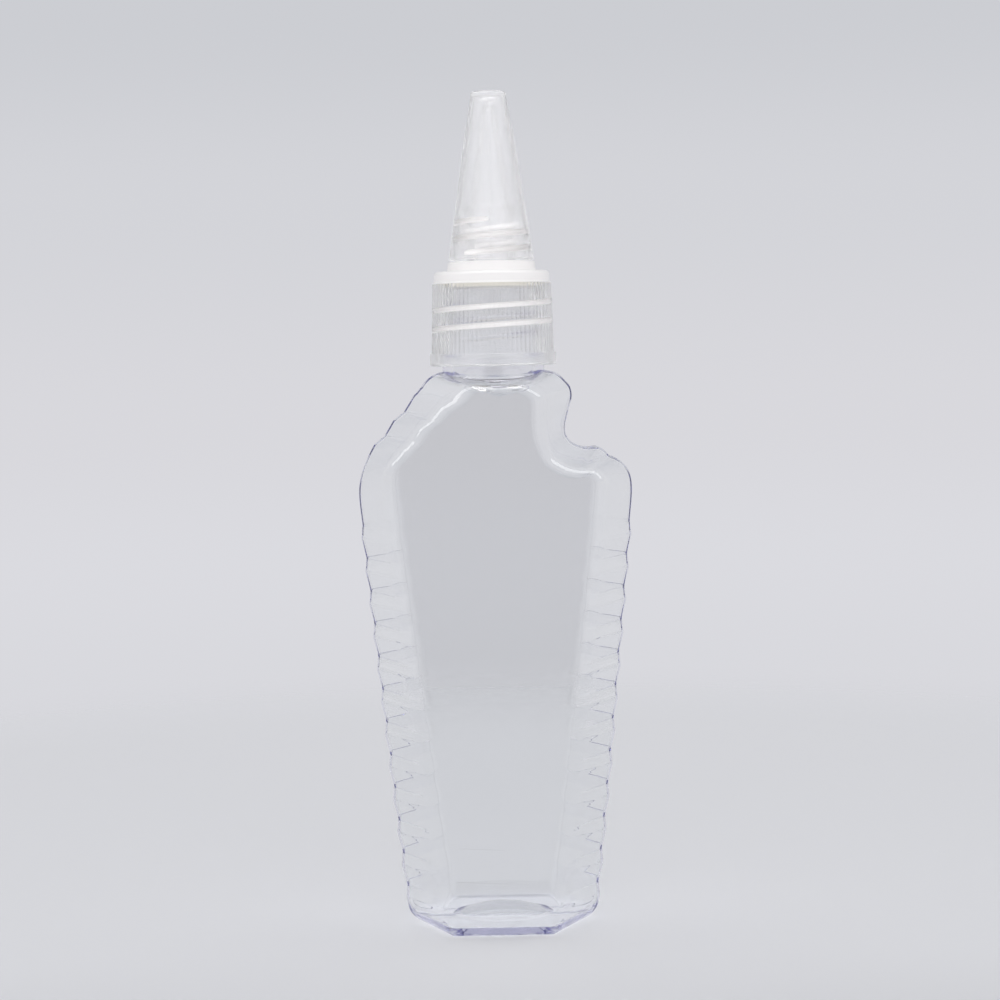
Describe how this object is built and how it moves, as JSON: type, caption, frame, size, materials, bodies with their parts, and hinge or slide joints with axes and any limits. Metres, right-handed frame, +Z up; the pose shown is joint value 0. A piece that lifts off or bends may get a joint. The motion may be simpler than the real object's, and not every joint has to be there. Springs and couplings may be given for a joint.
{
  "type": "nozzle bottle",
  "caption": "Flat clear squeeze bottle with scalloped bevelled sides and a finger notch, a ribbed screw closure with a tapered nozzle, and a long conical screw overcap.",
  "frame": {"origin": "centre of the base, on the surface that the bottle stands on", "axes": "+Z up along the neck's axis, +Y from the front label panel to the back one, +X across the body towards the finger notch"},
  "size_m": [0.051, 0.027, 0.1549],
  "materials": {
    "clear_bottle_plastic": "clear and glossy, faintly blue where it is thick",
    "cream_foam": "fine closed-cell foam",
    "milky_closure_plastic": "natural translucent, satin",
    "milky_overcap_plastic": "natural translucent, satin"
  },
  "bodies": {
    "bottle": {"bottle": "clear_bottle_plastic"},
    "liner": {"neck_liner": "cream_foam"},
    "closure": {"nozzle_closure": "milky_closure_plastic"},
    "seal_pin": {"overcap_seal_pin": "milky_overcap_plastic"},
    "overcap": {"overcap": "milky_overcap_plastic"}
  },
  "joints": [
    {"name": "closure_rise", "type": "slide", "parent": "bottle", "child": "liner", "axis": [0, 0, 1], "range_m": [0, 0.007]},
    {"name": "closure_turn", "type": "hinge", "parent": "liner", "child": "closure", "pos_m": [0, 0, 0.1036], "axis": [0, 0, 1], "range_deg": [0, 720]},
    {"name": "overcap_rise", "type": "slide", "parent": "closure", "child": "seal_pin", "axis": [0, 0, 1], "range_m": [0, 0.00675]},
    {"name": "overcap_turn", "type": "hinge", "parent": "seal_pin", "child": "overcap", "pos_m": [0, 0, 0.1233], "axis": [0, 0, 1], "range_deg": [0, 810]}
  ],
  "couplings": [
    {"joint": "closure_turn", "follows": "closure_rise", "rad_per_m": 1795.2},
    {"joint": "overcap_turn", "follows": "overcap_rise", "rad_per_m": 2094.4}
  ]
}
